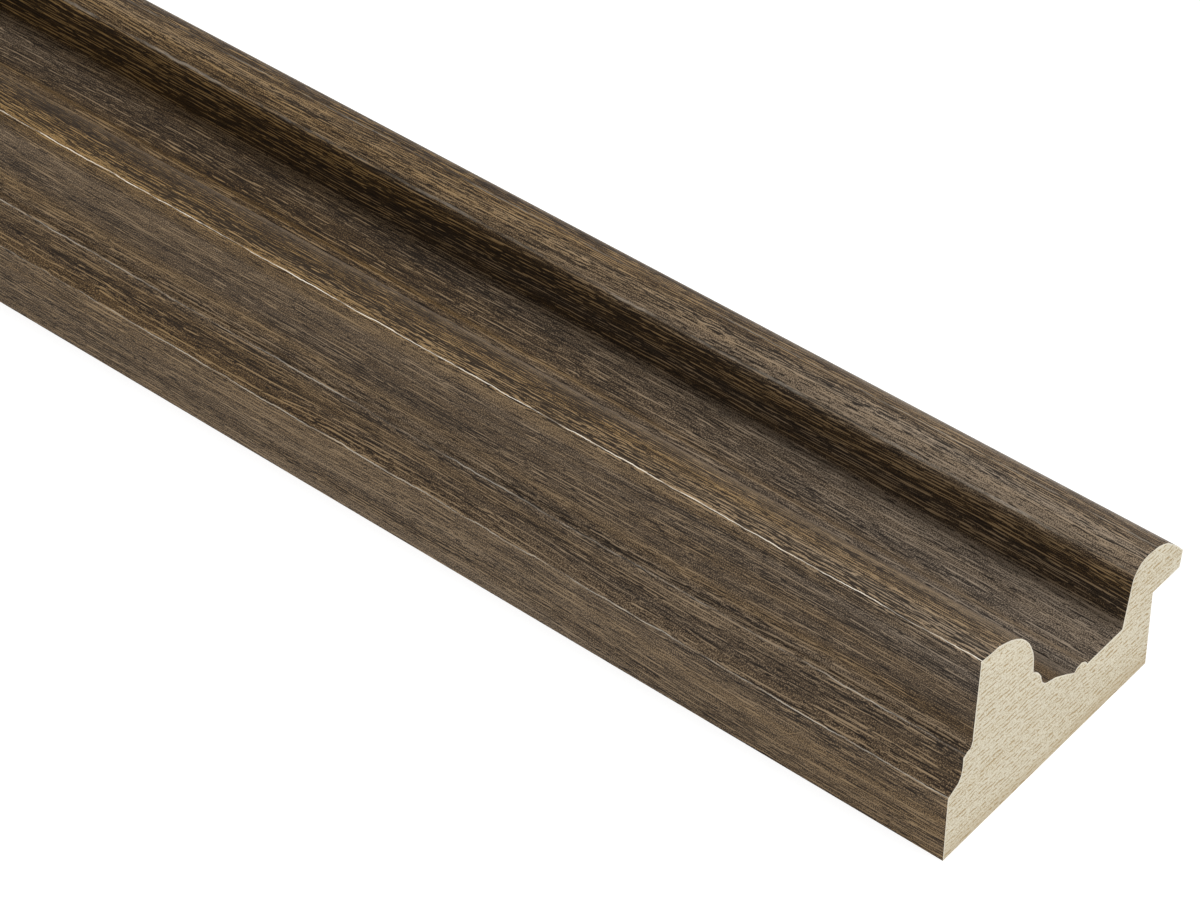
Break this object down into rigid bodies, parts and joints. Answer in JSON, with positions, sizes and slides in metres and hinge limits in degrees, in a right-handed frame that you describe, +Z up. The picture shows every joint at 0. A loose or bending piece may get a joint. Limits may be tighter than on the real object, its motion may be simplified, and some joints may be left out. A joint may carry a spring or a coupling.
{
  "type": "picture frame moulding",
  "caption": "Straight stick of profiled wood with a walnut-look face, ridge, channel and nosing, rabbeted under its sight edge for glass, picture and backing.",
  "frame": {"origin": "centre of the stick's box on its back, the flat face it lies on", "axes": "+X along the stick towards the sawn end that the picture shows, +Y across it towards the sight edge, +Z up from the back to the moulded face"},
  "size_m": [0.9144, 0.0496, 0.0302],
  "materials": {
    "moulding_wood": "satin walnut-look wrap on the face and outer side, bare pale wood on the sawn ends, back and rabbet"
  },
  "bodies": {
    "root": {"frame_moulding": "moulding_wood"}
  },
  "joints": []
}
